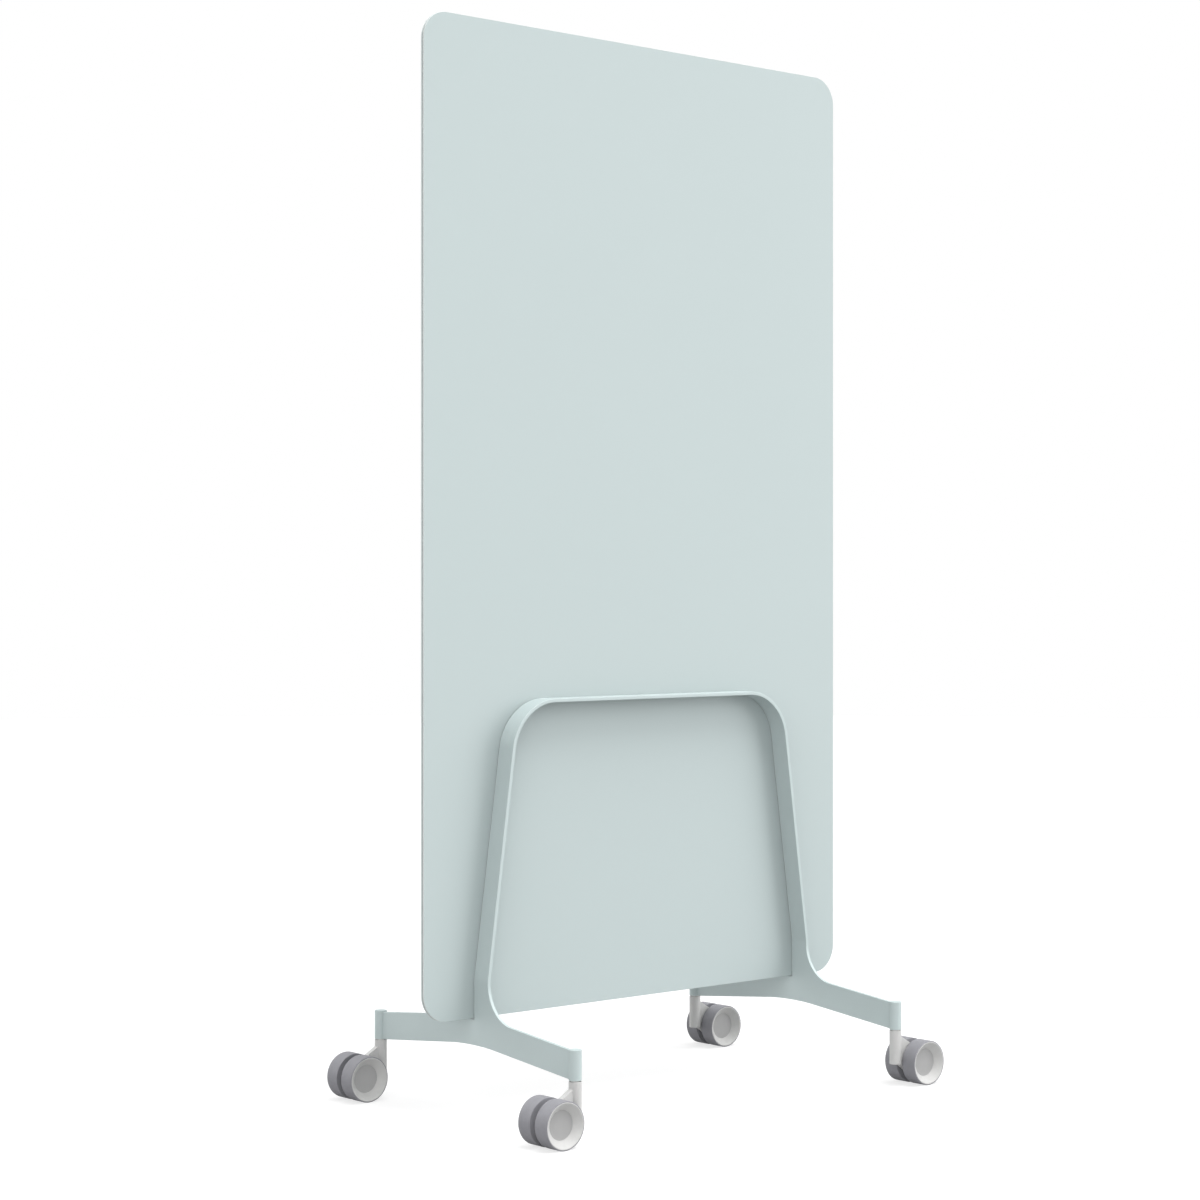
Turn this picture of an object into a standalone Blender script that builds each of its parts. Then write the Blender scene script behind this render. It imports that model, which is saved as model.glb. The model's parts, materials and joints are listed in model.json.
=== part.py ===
"""Mobile glass whiteboard.

A two-sided magnetic glass board stands in the slots of two steel foot plates, between a front
and a rear hoop of bent flat bar. Four twin-wheel castors swivel on stems in round sockets at
the ends of the feet. Lengths are in metres, +Z is up, the front of the board faces -Y, and the
origin lies on the floor under the middle of the board.
"""

from math import asin, atan2, cos, pi, radians, sin, sqrt, tan

import bmesh
import bpy
from mathutils import Matrix, Vector

# Clearances
gap = 0.0003                    # between pieces that touch
overrun = 0.0020                # a cutter's reach past the faces that it cuts
merge_distance = 0.00001

# Board
panel_width = 1.0000
panel_height = 1.7340
panel_corner_radius = 0.0500
glass_thickness = 0.0032
glass_arris = 0.0004            # the ground-off edge of the glass
core_thickness = 0.0010
core_inset = 0.0015             # the steel stops short of the glass's edge

# Hoops
bar_width = 0.0382
bar_thickness = 0.0065
bar_edge = 0.0008
hoop_rise = 0.5503              # the board's lower edge to the hoop's top face
hoop_corner_radius = 0.0950     # to the middle of the bar
hoop_bend_radius = 0.0600
hoop_stub = 0.0020              # upright length of the bar under its bend
leg_lean = radians(8.0)
leg_inset = 0.1116              # the board's side to the middle of a foot plate

# Bonding strips and glass seats
bond_thickness = 0.0008
bond_inset = 0.0010             # the strip is narrower than the bar by this on each side
seat_floor_thickness = 0.0015
seat_wall_height = 0.0080

# Feet
foot_spread = 0.2715            # middle of the board to a castor's swivel axis
foot_end_height = 0.0494
foot_slope = radians(6.0)
foot_crest_radius = 0.5450
foot_fillet_radius = 0.0670
slot_floor_height = 0.0440      # the foot's underside to the floor of the board's slot

# Sockets
socket_radius = 0.0110
socket_stand = 0.0018           # the socket's top above the foot plate's
socket_edge = 0.0006
socket_cap_thickness = 0.0080

# Castor housings
castor_headroom = 0.0212        # the top of the wheels to the top of the barrel
swivel_gap = 0.0015             # the barrel's top to the socket
barrel_radius = 0.0110
barrel_length = 0.0625
barrel_edge = 0.0007
barrel_floor_thickness = 0.0080
counterbore_depth = 0.0030
web_half_thickness = 0.0053
web_edge = 0.0010
web_drop = 0.0061               # the barrel's top to the web's upper line, on the swivel axis
web_rise = 0.0030               # the barrel's foot to the web's lower line, on the swivel axis
web_end_radius = 0.0250
web_end_drop = 0.0030           # the middle of the web's round end under the axle
hub_radius = 0.0110

# Stems and their retaining rings
stem_radius = 0.0050
stem_edge = 0.0006
stem_top_clearance = 0.0010
collar_radius = 0.0078
collar_clearance = 0.0004
ring_groove_depth = 0.0008
ring_thickness = 0.0010
ring_width = 0.0017
ring_height = 0.0060            # the middle of the ring above the stem's lower end

# Wheels
wheel_radius = 0.0409
wheel_width = 0.0301
wheel_clearance = 0.0020        # between the treads and the barrel
web_clearance = 0.0013          # between a wheel and the web
tyre_thickness = 0.0020
tyre_shoulder = 0.0008
tyre_flange_thickness = 0.0012  # the tyre folds over the rim's inner edge
tyre_flange_depth = 0.0104      # and reaches this far in from the rim's band
rim_wall = 0.0026
boss_radius = 0.0090
dish_depth = 0.0115
cap_radius = 0.0246
cap_height = 0.0058
cap_thickness = 0.0016

# Axles and their push nuts
axle_radius = 0.0040
axle_head_radius = 0.0070
axle_head_thickness = 0.0015
axle_edge = 0.0005
nut_radius = 0.0080
nut_thickness = 0.0010
axle_end = 0.0012               # the axle's end past the push nut

# Facets
panel_corner_steps = 8
hoop_corner_steps = 10
hoop_bend_steps = 3
fillet_steps = 8
crest_steps = 8
web_end_steps = 10
wheel_steps = 20                # a multiple of four, so that a flat of the tread meets the floor
round_steps = 18
small_steps = 10
round_edge = radians(35)        # edges flatter than this are shaded smooth
square_edge = radians(60)       # edges sharper than this are eased

# Board, hoop and foot places
panel_thickness = 2 * glass_thickness + core_thickness + 2 * gap
bar_seat = panel_thickness / 2 + bond_thickness + 2 * gap
bar_reach = bar_seat + bar_width
leg_spread = panel_width / 2 - leg_inset
castor_height = 2 * wheel_radius + castor_headroom
socket_foot = castor_height + swivel_gap
socket_top = socket_foot + foot_end_height + socket_stand
foot_end = foot_spread - socket_radius
foot_apex = socket_foot + foot_end * tan(foot_slope)
foot_crest = foot_apex - foot_crest_radius * (1 / cos(foot_slope) - 1)
foot_top_at_bar = socket_foot + foot_end_height + (foot_end - bar_reach) * tan(foot_slope)
weld_height = foot_top_at_bar + foot_fillet_radius * tan((pi / 2 - foot_slope) / 2)
slot_floor = foot_crest + slot_floor_height
panel_foot = slot_floor + seat_floor_thickness + 2 * gap
panel_top = panel_foot + panel_height
hoop_top = panel_foot + hoop_rise

# Castor places: heights from the floor, and distances along the axle from the castor's middle
barrel_foot = castor_height - barrel_length
bore_radius = stem_radius + gap
bore_foot = barrel_foot + barrel_floor_thickness
counterbore_floor = castor_height - counterbore_depth
stem_foot = bore_foot + gap
stem_top = socket_top - socket_cap_thickness - stem_top_clearance
ring_middle = stem_foot + ring_height
ring_inner_radius = stem_radius - ring_groove_depth + gap
ring_outer_radius = ring_inner_radius + ring_width
wheel_inner_face = web_half_thickness + web_clearance
wheel_outer_face = wheel_inner_face + wheel_width
trail = wheel_radius + sqrt(barrel_radius ** 2 - wheel_inner_face ** 2) + wheel_clearance
tread_radius = wheel_radius / cos(pi / wheel_steps)
tyre_inner_radius = wheel_radius - tyre_thickness
rim_radius = tyre_inner_radius - gap
flange_face = wheel_inner_face + tyre_flange_thickness
axle_bore_radius = axle_radius + gap
recess_radius = cap_radius + gap
cap_face = wheel_outer_face - dish_depth
recess_floor = cap_face - cap_height - gap


# Scene and collections
for old in list(bpy.data.objects):
    bpy.data.objects.remove(old, do_unlink=True)

parts = bpy.data.collections.new("mobile_glass_whiteboard")
cutters = bpy.data.collections.new("cutters")
bpy.context.scene.collection.children.link(parts)
bpy.context.scene.collection.children.link(cutters)


# Materials
def finish(name, colour, roughness, metallic):
    """A Principled material of one plain finish."""
    made = bpy.data.materials.new(name)
    made.use_nodes = True
    shader = made.node_tree.nodes["Principled BSDF"]
    shader.inputs["Base Color"].default_value = (*colour, 1.0)
    shader.inputs["Roughness"].default_value = roughness
    shader.inputs["Metallic"].default_value = metallic
    return made


coloured_glass = finish("coloured_glass", (0.62, 0.72, 0.72), 0.25, 0.0)
sheet_steel = finish("sheet_steel", (0.52, 0.53, 0.54), 0.45, 1.0)
powder_coat = finish("powder_coat", (0.60, 0.70, 0.70), 0.50, 0.0)
bond_tape = finish("bond_tape", (0.55, 0.60, 0.60), 0.60, 0.0)
seat_rubber = finish("seat_rubber", (0.10, 0.10, 0.11), 0.80, 0.0)
bright_steel = finish("bright_steel", (0.62, 0.62, 0.62), 0.30, 1.0)
white_nylon = finish("white_nylon", (0.82, 0.82, 0.81), 0.45, 0.0)
tread_rubber = finish("tread_rubber", (0.30, 0.30, 0.32), 0.65, 0.0)
cap_plastic = finish("cap_plastic", (0.50, 0.50, 0.50), 0.50, 0.0)


# Building blocks
def arc(centre, radius, start, end, steps):
    """Points of an arc, from the start angle to the end angle."""
    angles = [start + (end - start) * i / steps for i in range(steps + 1)]
    return [(centre[0] + radius * cos(a), centre[1] + radius * sin(a)) for a in angles]


def add_object(name, mesh, material, collection=parts):
    """An object for a mesh, with its material, in its collection."""
    made = bpy.data.objects.new(name, mesh)
    if not mesh.materials:
        mesh.materials.append(material)
    collection.objects.link(made)
    return made


def as_mesh(source, name):
    """The evaluated shape of an object as a plain mesh, with its caps welded."""
    bpy.context.view_layer.update()
    evaluated = source.evaluated_get(bpy.context.evaluated_depsgraph_get())
    mesh = bpy.data.meshes.new_from_object(evaluated)
    mesh.name = name
    shape = bmesh.new()
    shape.from_mesh(mesh)
    bmesh.ops.remove_doubles(shape, verts=shape.verts, dist=merge_distance)
    bmesh.ops.recalc_face_normals(shape, faces=shape.faces)
    shape.to_mesh(mesh)
    shape.free()
    return mesh


def shaded(mesh):
    """Shades a mesh smooth across its round stretches, and keeps its sharp edges."""
    mesh.shade_smooth()
    mesh.set_sharp_from_angle(angle=round_edge)
    return mesh


def settled(source, name, helpers=()):
    """The finished mesh of a piece that is copied, without the objects it was made from."""
    mesh = shaded(as_mesh(source, name))
    for spent in (source, *helpers):
        bpy.data.objects.remove(spent, do_unlink=True)
    return mesh


def flat_plate(name, outline, thickness, turn, middle, material, collection=parts):
    """A flat outline given thickness: a filled 2D curve, extruded and made a mesh."""
    curve = bpy.data.curves.new(name, "CURVE")
    curve.dimensions = "2D"
    curve.fill_mode = "BOTH"
    curve.extrude = thickness / 2
    spline = curve.splines.new("POLY")
    spline.points.add(len(outline) - 1)
    for point, (across, up) in zip(spline.points, outline):
        point.co = (across, up, 0, 1)
    spline.use_cyclic_u = True
    drawn = bpy.data.objects.new(name + "_outline", curve)
    drawn.matrix_world = Matrix.Translation(middle) @ turn
    collection.objects.link(drawn)
    plate = add_object(name, as_mesh(drawn, name), material, collection)
    plate.matrix_world = drawn.matrix_world.copy()
    bpy.data.objects.remove(drawn, do_unlink=True)
    bpy.data.curves.remove(curve)
    return plate


def turned(name, profile, steps, material, collection=parts):
    """A turned piece: a profile of (radius, height) swept round Z by a Screw modifier."""
    mesh = bpy.data.meshes.new(name)
    edges = [(i, (i + 1) % len(profile)) for i in range(len(profile))]
    if profile[0][0] == 0:
        edges.pop()
    mesh.from_pydata([(radius, 0, height) for radius, height in profile], edges, [])
    made = add_object(name, mesh, material, collection)
    screw = made.modifiers.new("turned", "SCREW")
    screw.axis = "Z"
    screw.steps = steps
    screw.render_steps = steps
    screw.use_merge_vertices = True
    screw.merge_threshold = merge_distance
    return made


def round_bar(name, radius, half_length, steps, turn, middle, collection=cutters):
    """A plain cylinder along the turned Z axis, for a hub or a hole."""
    bpy.ops.mesh.primitive_cylinder_add(vertices=steps, radius=radius, depth=2 * half_length)
    bar = bpy.context.object
    bar.name = name
    bar.matrix_world = Matrix.Translation(middle) @ turn
    for owner in list(bar.users_collection):
        owner.objects.unlink(bar)
    collection.objects.link(bar)
    return bar


def cut(target, tool, operation="DIFFERENCE"):
    """An exact Boolean of one object with another, which is kept out of renders."""
    tool.hide_render = True
    tool.display_type = "WIRE"
    step = target.modifiers.new(tool.name, "BOOLEAN")
    step.operation = operation
    step.solver = "EXACT"
    step.object = tool


def eased(target, width):
    """Eases an object's square edges."""
    bevel = target.modifiers.new("eased", "BEVEL")
    bevel.width = width
    bevel.segments = 1
    bevel.limit_method = "ANGLE"
    bevel.angle_limit = square_edge
    return target


as_drawn = Matrix.Identity(4)
upright = Matrix.Rotation(pi / 2, 4, "X")                     # an outline in X and Z
sideways = Matrix.Rotation(pi / 2, 4, "Z") @ upright          # an outline in Y and Z
ends = (("front", -1), ("rear", 1))
hands = (("left", -1), ("right", 1))


# Board
def sheet_outline(inset):
    """A tall rectangle with round corners, set in from the board's edge."""
    radius = panel_corner_radius - inset
    x = panel_width / 2 - panel_corner_radius
    low = panel_foot + panel_corner_radius
    high = panel_top - panel_corner_radius
    steps = panel_corner_steps
    return (arc((x, low), radius, -pi / 2, 0, steps) + arc((x, high), radius, 0, pi / 2, steps)
            + arc((-x, high), radius, pi / 2, pi, steps)
            + arc((-x, low), radius, pi, 3 * pi / 2, steps))


def board():
    """Two sheets of glass on a steel sheet that holds magnets."""
    glass_middle = core_thickness / 2 + gap + glass_thickness / 2
    for place, end in ends:
        glass = flat_plate(place + "_glass", sheet_outline(0), glass_thickness, upright,
                           (0, end * glass_middle, 0), coloured_glass)
        eased(glass, glass_arris)
    flat_plate("steel_core", sheet_outline(core_inset), core_thickness, upright, (0, 0, 0),
               sheet_steel)


# Hoops
def hoop_outline(half_thickness, foot):
    """The bar seen from the front: up one leg, over the top and down the other."""
    outward = Vector((cos(leg_lean), sin(leg_lean)))
    along = Vector((-sin(leg_lean), cos(leg_lean)))
    bend_centre = Vector((leg_spread - hoop_bend_radius, weld_height + gap + hoop_stub))
    bend_end = bend_centre + hoop_bend_radius * outward
    middle_top = hoop_top - bar_thickness / 2
    corner = bend_end + along * (middle_top - bend_end.y) / cos(leg_lean)
    setback = hoop_corner_radius * tan((pi / 2 - leg_lean) / 2)
    corner_centre = corner - along * setback - hoop_corner_radius * outward

    def half(offset):
        """The right half of a line at a distance from the bar's middle."""
        return ([(leg_spread + offset, foot)]
                + arc(bend_centre, hoop_bend_radius + offset, 0, leg_lean, hoop_bend_steps)
                + arc(corner_centre, hoop_corner_radius + offset, leg_lean, pi / 2,
                      hoop_corner_steps))

    outside, inside = half(half_thickness), half(-half_thickness)
    return (outside + [(-x, z) for x, z in reversed(outside)]
            + [(-x, z) for x, z in inside] + list(reversed(inside)))


def hoops():
    """A hoop on each side of the board, and the strip that bonds it to the glass."""
    bar_outline = hoop_outline(bar_thickness / 2, weld_height + gap)
    bond_outline = hoop_outline(bar_thickness / 2 - bond_inset,
                                panel_foot + seat_wall_height + gap)
    bar_middle = (bar_seat + bar_reach) / 2
    bond_middle = panel_thickness / 2 + gap + bond_thickness / 2
    for place, end in ends:
        bar = flat_plate(place + "_hoop", bar_outline, bar_width, upright,
                         (0, end * bar_middle, 0), powder_coat)
        eased(bar, bar_edge)
        flat_plate(place + "_bonding_strip", bond_outline, bond_thickness, upright,
                   (0, end * bond_middle, 0), bond_tape)


# Feet
def foot_outline():
    """The foot plate seen from the side: slot, two tines, fillets, arms, arched underside."""
    fillet_centre = (bar_reach + foot_fillet_radius, weld_height)
    fall = socket_radius * tan(foot_slope)
    half = ([(bar_seat, slot_floor), (bar_seat, weld_height)]
            + arc(fillet_centre, foot_fillet_radius, pi, 3 * pi / 2 - foot_slope, fillet_steps)
            + [(foot_spread, socket_foot + foot_end_height - fall),
               (foot_spread, socket_foot - fall)])
    crest_centre = (0, foot_crest - foot_crest_radius)
    crest = arc(crest_centre, foot_crest_radius, pi / 2 - foot_slope, pi / 2 + foot_slope,
                crest_steps)
    return half + crest + [(-y, z) for y, z in reversed(half)]


def seat_outline():
    """The U of rubber that the board stands on in the slot."""
    outside = bar_seat - gap
    inside = panel_thickness / 2 + gap
    low = slot_floor + gap
    step = low + seat_floor_thickness
    top = panel_foot + seat_wall_height
    right = [(outside, low), (outside, top), (inside, top), (inside, step)]
    return right + [(-y, z) for y, z in reversed(right)]


def feet():
    """A foot plate under each hoop leg, cut round at its ends for the sockets."""
    low = socket_foot - socket_radius * tan(foot_slope) - overrun
    high = socket_top + overrun
    for hand, side in hands:
        middle = (side * leg_spread, 0, 0)
        foot = flat_plate(hand + "_foot", foot_outline(), bar_thickness, sideways, middle,
                          powder_coat)
        eased(foot, bar_edge)
        for place, end in ends:
            cut(foot, round_bar(f"{place}_{hand}_foot_cutter", socket_radius + gap,
                                (high - low) / 2, round_steps, as_drawn,
                                (side * leg_spread, end * foot_spread, (low + high) / 2)))
        flat_plate(hand + "_glass_seat", seat_outline(), bar_thickness, sideways, middle,
                   seat_rubber)


# Pieces of a castor, in its own frame: swivel axis on Z, wheels towards +X
def socket_mesh():
    """A round bar, bored from below for the stem, with a closed top."""
    bore_top = socket_top - socket_cap_thickness
    return settled(turned("socket", [
        (0, socket_top),
        (socket_radius - socket_edge, socket_top),
        (socket_radius, socket_top - socket_edge),
        (socket_radius, socket_foot + socket_edge),
        (socket_radius - socket_edge, socket_foot),
        (bore_radius, socket_foot),
        (bore_radius, bore_top),
        (0, bore_top),
    ], round_steps, powder_coat), "socket")


def stem_mesh():
    """A pin with a collar that carries the socket, and a groove for its retaining ring."""
    groove_radius = stem_radius - ring_groove_depth
    groove_top = ring_middle + ring_thickness / 2 + gap
    groove_foot = ring_middle - ring_thickness / 2 - gap
    return settled(turned("stem", [
        (0, stem_top),
        (stem_radius - stem_edge, stem_top),
        (stem_radius, stem_top - stem_edge),
        (stem_radius, socket_foot - gap),
        (collar_radius, socket_foot - gap),
        (collar_radius, counterbore_floor + gap),
        (stem_radius, counterbore_floor + gap),
        (stem_radius, groove_top),
        (groove_radius, groove_top),
        (groove_radius, groove_foot),
        (stem_radius, groove_foot),
        (stem_radius, stem_foot),
        (0, stem_foot),
    ], small_steps, bright_steel), "stem")


def ring_mesh():
    """The ring in the stem's groove, which keeps the housing on the stem."""
    top = ring_middle + ring_thickness / 2
    foot = ring_middle - ring_thickness / 2
    return settled(turned("ring", [
        (ring_outer_radius, top),
        (ring_outer_radius, foot),
        (ring_inner_radius, foot),
        (ring_inner_radius, top),
    ], small_steps, bright_steel), "ring")


def tangent(point, centre, radius):
    """The direction from a point to a circle's middle, and the turn from it to a tangent."""
    across, up = centre[0] - point[0], centre[1] - point[1]
    return atan2(up, across), asin(radius / sqrt(across ** 2 + up ** 2))


def web_outline():
    """The web seen from the side: two lines from the swivel axis, round the axle's end."""
    centre = (trail, wheel_radius - web_end_drop)
    low = (0, barrel_foot + web_rise)
    high = (0, castor_height - web_drop)
    low_heading, low_turn = tangent(low, centre, web_end_radius)
    high_heading, high_turn = tangent(high, centre, web_end_radius)
    return ([high, low]
            + arc(centre, web_end_radius, low_heading - low_turn - pi / 2,
                  high_heading + high_turn + pi / 2, web_end_steps))


def housing_bore():
    """The space cut from the barrel: counterbore, stem bore and the ring's chamber."""
    counterbore_radius = collar_radius + collar_clearance
    chamber_radius = ring_outer_radius + 2 * gap
    chamber_top = ring_middle + ring_thickness / 2 + gap
    chamber_foot = ring_middle - ring_thickness / 2 - gap
    return turned("housing_bore", [
        (0, castor_height + overrun),
        (counterbore_radius, castor_height + overrun),
        (counterbore_radius, counterbore_floor),
        (bore_radius, counterbore_floor),
        (bore_radius, chamber_top),
        (chamber_radius, chamber_top),
        (chamber_radius, chamber_foot),
        (bore_radius, chamber_foot),
        (bore_radius, bore_foot),
        (0, bore_foot),
    ], small_steps, white_nylon, cutters)


def housing_mesh():
    """The moulded housing: barrel, web and hub in one, bored for the stem and the axle."""
    axle = (trail, 0, wheel_radius)
    hub_half_length = wheel_inner_face - gap
    housing = turned("housing", [
        (0, castor_height),
        (barrel_radius - barrel_edge, castor_height),
        (barrel_radius, castor_height - barrel_edge),
        (barrel_radius, barrel_foot + barrel_edge),
        (barrel_radius - barrel_edge, barrel_foot),
        (0, barrel_foot),
    ], round_steps, white_nylon)
    web = eased(flat_plate("web", web_outline(), 2 * web_half_thickness, upright, (0, 0, 0),
                           white_nylon, cutters), web_edge)
    hub = round_bar("hub", hub_radius, hub_half_length, round_steps, upright, axle)
    axle_bore = round_bar("axle_bore", axle_bore_radius, hub_half_length + overrun,
                          small_steps, upright, axle)
    bore = housing_bore()
    cut(housing, web, "UNION")
    cut(housing, hub, "UNION")
    cut(housing, bore)
    cut(housing, axle_bore)
    return settled(housing, "housing", (web, hub, bore, axle_bore))


# Pieces on the axle, turned about it, with the wheel's outer face upward
def rim_mesh():
    """The moulded rim: band, dished face, recess for the cap, and boss on the axle."""
    back_radius = rim_radius - rim_wall
    recess_back = recess_radius + rim_wall
    slope = dish_depth / (rim_radius - recess_radius)
    wall_rise = rim_wall * sqrt(1 + slope ** 2)
    floor_back = recess_floor - rim_wall
    return settled(turned("rim", [
        (rim_radius, wheel_outer_face),
        (rim_radius, flange_face + gap),
        (back_radius, flange_face + gap),
        (back_radius, cap_face - wall_rise + slope * (back_radius - recess_radius)),
        (recess_back, cap_face - wall_rise + slope * rim_wall),
        (recess_back, floor_back),
        (boss_radius, floor_back),
        (boss_radius, wheel_inner_face),
        (axle_bore_radius, wheel_inner_face),
        (axle_bore_radius, recess_floor),
        (recess_radius, recess_floor),
        (recess_radius, cap_face),
    ], wheel_steps, white_nylon), "rim")


def tyre_mesh():
    """The tread round the rim, with an eased shoulder and a flange over the rim's inner edge."""
    flange_radius = tyre_inner_radius - tyre_flange_depth
    return settled(turned("tyre", [
        (tread_radius, wheel_outer_face - tyre_shoulder),
        (tread_radius, wheel_inner_face),
        (flange_radius, wheel_inner_face),
        (flange_radius, flange_face),
        (tyre_inner_radius, flange_face),
        (tyre_inner_radius, wheel_outer_face),
        (tread_radius - tyre_shoulder, wheel_outer_face),
    ], wheel_steps, tread_rubber), "tyre")


def cap_mesh():
    """The flat cap over the axle's end, a shallow cup that fills the rim's recess."""
    skirt_foot = recess_floor + gap
    return settled(turned("cap", [
        (0, cap_face),
        (cap_radius, cap_face),
        (cap_radius, skirt_foot),
        (cap_radius - cap_thickness, skirt_foot),
        (cap_radius - cap_thickness, cap_face - cap_thickness),
        (0, cap_face - cap_thickness),
    ], wheel_steps, cap_plastic), "cap")


def axle_mesh():
    """A pin through both wheels, with a head on its outer end."""
    head_foot = recess_floor + gap
    head_top = head_foot + axle_head_thickness
    pin_foot = -(recess_floor + gap + nut_thickness + axle_end)
    return settled(turned("axle", [
        (0, head_top),
        (axle_head_radius - axle_edge, head_top),
        (axle_head_radius, head_top - axle_edge),
        (axle_head_radius, head_foot),
        (axle_radius, head_foot),
        (axle_radius, pin_foot + axle_edge),
        (axle_radius - axle_edge, pin_foot),
        (0, pin_foot),
    ], small_steps, bright_steel), "axle")


def nut_mesh():
    """The push nut that grips the axle's plain end."""
    nut_foot = recess_floor + gap
    return settled(turned("push_nut", [
        (nut_radius, nut_foot + nut_thickness),
        (nut_radius, nut_foot),
        (axle_radius + gap, nut_foot),
        (axle_radius + gap, nut_foot + nut_thickness),
    ], small_steps, bright_steel), "push_nut")


# Castors
def place_piece(name, mesh, material, parent, location, turn):
    """A piece on its castor's swivel frame, turned to face along its axle."""
    piece = add_object(name, mesh, material)
    piece.parent = parent
    piece.location = location
    piece.rotation_euler = turn


def castor(corner, swivel_axis, heading, outer_side, meshes):
    """The swivelling pieces of one castor, under an empty on its swivel axis."""
    swivel = bpy.data.objects.new(corner + "_swivel", None)
    swivel.location = swivel_axis
    swivel.rotation_euler = (0, 0, heading)
    parts.objects.link(swivel)
    axle = (trail, 0, wheel_radius)
    outward = (-outer_side * pi / 2, 0, 0)
    inward = (outer_side * pi / 2, 0, 0)
    place_piece(corner + "_housing", meshes["housing"], white_nylon, swivel, (0, 0, 0), (0, 0, 0))
    place_piece(corner + "_axle", meshes["axle"], bright_steel, swivel, axle, outward)
    place_piece(corner + "_push_nut", meshes["push_nut"], bright_steel, swivel, axle, inward)
    for wheel, side in (("outer", outer_side), ("inner", -outer_side)):
        name = f"{corner}_{wheel}"
        turn = (-side * pi / 2, pi / wheel_steps, 0)
        place_piece(name + "_rim", meshes["rim"], white_nylon, swivel, axle, turn)
        place_piece(name + "_tyre", meshes["tyre"], tread_rubber, swivel, axle, turn)
        place_piece(name + "_cap", meshes["cap"], cap_plastic, swivel, axle, turn)


def castors():
    """Four castors on their stems, in the sockets at the ends of the feet."""
    socket = socket_mesh()
    stem = stem_mesh()
    ring = ring_mesh()
    meshes = {"housing": housing_mesh(), "rim": rim_mesh(), "tyre": tyre_mesh(),
              "cap": cap_mesh(), "axle": axle_mesh(), "push_nut": nut_mesh()}
    for hand, side in hands:
        for place, end in ends:
            corner = f"{place}_{hand}"
            swivel_axis = Vector((side * leg_spread, end * foot_spread, 0))
            add_object(corner + "_socket", socket, powder_coat).location = swivel_axis
            add_object(corner + "_stem", stem, bright_steel).location = swivel_axis
            add_object(corner + "_stem_ring", ring, bright_steel).location = swivel_axis
            castor(corner, swivel_axis, (1 - side) / 2 * pi, end * side, meshes)


board()
hoops()
feet()
castors()
bpy.context.view_layer.update()
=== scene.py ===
# %% [markdown]
# # A mobile glass whiteboard, dressed for its photograph
#
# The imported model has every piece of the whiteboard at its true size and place, but its round
# pieces have few sides and its finishes are plain. This lesson keeps the pieces that hide inside,
# models each visible piece again with round corners and softened edges, and gives every surface
# a finish with grain, wear and dust. Lengths are in metres, Z is up, and the board faces -Y.

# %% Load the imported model
import json
from math import cos, pi, radians, sin, tan

import bmesh
import bpy
from mathutils import Matrix, Vector

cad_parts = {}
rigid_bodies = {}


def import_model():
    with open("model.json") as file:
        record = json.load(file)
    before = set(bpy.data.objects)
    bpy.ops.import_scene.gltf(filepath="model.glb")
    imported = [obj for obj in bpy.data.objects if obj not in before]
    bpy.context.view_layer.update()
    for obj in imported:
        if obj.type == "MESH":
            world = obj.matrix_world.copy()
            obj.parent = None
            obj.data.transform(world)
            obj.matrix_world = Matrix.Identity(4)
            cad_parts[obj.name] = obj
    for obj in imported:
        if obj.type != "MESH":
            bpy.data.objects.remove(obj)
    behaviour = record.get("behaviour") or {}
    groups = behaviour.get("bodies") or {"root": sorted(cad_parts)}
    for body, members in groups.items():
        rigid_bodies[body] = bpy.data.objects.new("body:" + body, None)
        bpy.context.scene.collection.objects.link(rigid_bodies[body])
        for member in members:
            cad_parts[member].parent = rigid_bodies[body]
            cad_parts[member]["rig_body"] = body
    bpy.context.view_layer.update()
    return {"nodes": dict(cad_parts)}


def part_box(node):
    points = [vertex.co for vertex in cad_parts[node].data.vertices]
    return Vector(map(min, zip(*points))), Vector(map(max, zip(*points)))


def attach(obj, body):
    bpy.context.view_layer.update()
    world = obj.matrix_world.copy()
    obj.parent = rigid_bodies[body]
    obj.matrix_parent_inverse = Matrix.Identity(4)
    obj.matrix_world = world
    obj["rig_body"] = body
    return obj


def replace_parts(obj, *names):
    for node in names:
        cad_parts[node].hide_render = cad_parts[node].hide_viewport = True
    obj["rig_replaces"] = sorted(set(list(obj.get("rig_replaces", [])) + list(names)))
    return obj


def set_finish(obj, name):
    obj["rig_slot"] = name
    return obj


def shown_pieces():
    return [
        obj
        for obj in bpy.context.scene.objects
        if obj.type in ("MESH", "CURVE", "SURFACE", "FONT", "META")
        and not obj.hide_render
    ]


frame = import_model()

# %% [markdown]
# ## Working in edit mode from code
#
# Modelling by hand is a round of three steps: select, run an operator, look. The operators of
# Blender act on whatever is selected, so each step here first picks its faces or edges by their
# place or direction. These few helpers do that, and the rest of the lesson reads like a list of
# the strokes that a person would make with the mouse.

# %% Helpers for selecting and editing
across, deep, upward = 0, 1, 2          # the axes: along the board, through it, and up
hair = 0.000001                         # lengths that differ by less are the same
same_place = 0.00001                    # points that lie nearer than this are one point
mostly = 0.9                            # what has this share of an axis looks along it
fold = 40                               # degrees at which two faces meet in an edge
arc = 0.5                               # the profile that makes a bevel round


def begin(piece=None):
    """Leaves edit mode and selects one piece or none, so that nothing else is changed."""
    if bpy.context.mode != "OBJECT":
        bpy.ops.object.mode_set(mode="OBJECT")
    bpy.ops.object.select_all(action="DESELECT")
    if piece:
        piece.select_set(True)
        bpy.context.view_layer.objects.active = piece


def edit(piece):
    """Opens one piece in edit mode with all of it selected."""
    begin(piece)
    bpy.ops.object.mode_set(mode="EDIT")
    bpy.ops.mesh.select_all(action="SELECT")


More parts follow.
